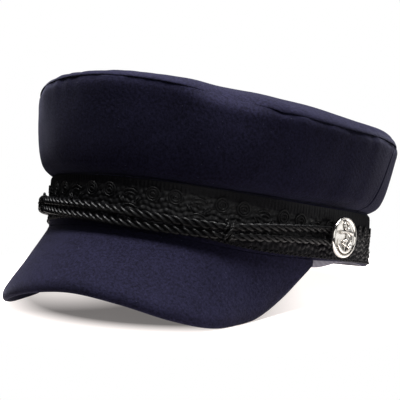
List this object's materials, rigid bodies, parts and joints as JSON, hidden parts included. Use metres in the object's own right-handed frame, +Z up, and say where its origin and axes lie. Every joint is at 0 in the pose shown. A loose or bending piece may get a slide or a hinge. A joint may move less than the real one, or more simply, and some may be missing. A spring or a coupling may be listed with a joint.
{
  "type": "cadet cap",
  "caption": "Soft navy cadet cap with a raised flat-topped crown, a short curved peak, black braid trim, a twisted cord and silver anchor buttons.",
  "frame": {"origin": "on the floor, under the middle of the cap's box as it stands", "axes": "+Z up, -Y toward the peak, +X toward the wearer's left"},
  "size_m": [0.1945, 0.2599, 0.1276],
  "materials": {
    "navy_cloth": "brushed wool cloth",
    "grey_lining": "plain woven tape",
    "black_braid": "gimp braid",
    "black_cord": "twisted satin cord",
    "silver_metal": "cast and plated, polished"
  },
  "bodies": {
    "root": {"crown_top": "navy_cloth", "crown_front": "navy_cloth", "crown_back": "navy_cloth", "band": "navy_cloth", "peak": "navy_cloth", "sweatband": "grey_lining", "braid_trim": "black_braid", "cord": "black_cord", "knot_left": "black_cord", "knot_right": "black_cord", "button_left": "silver_metal", "button_right": "silver_metal"}
  },
  "joints": []
}
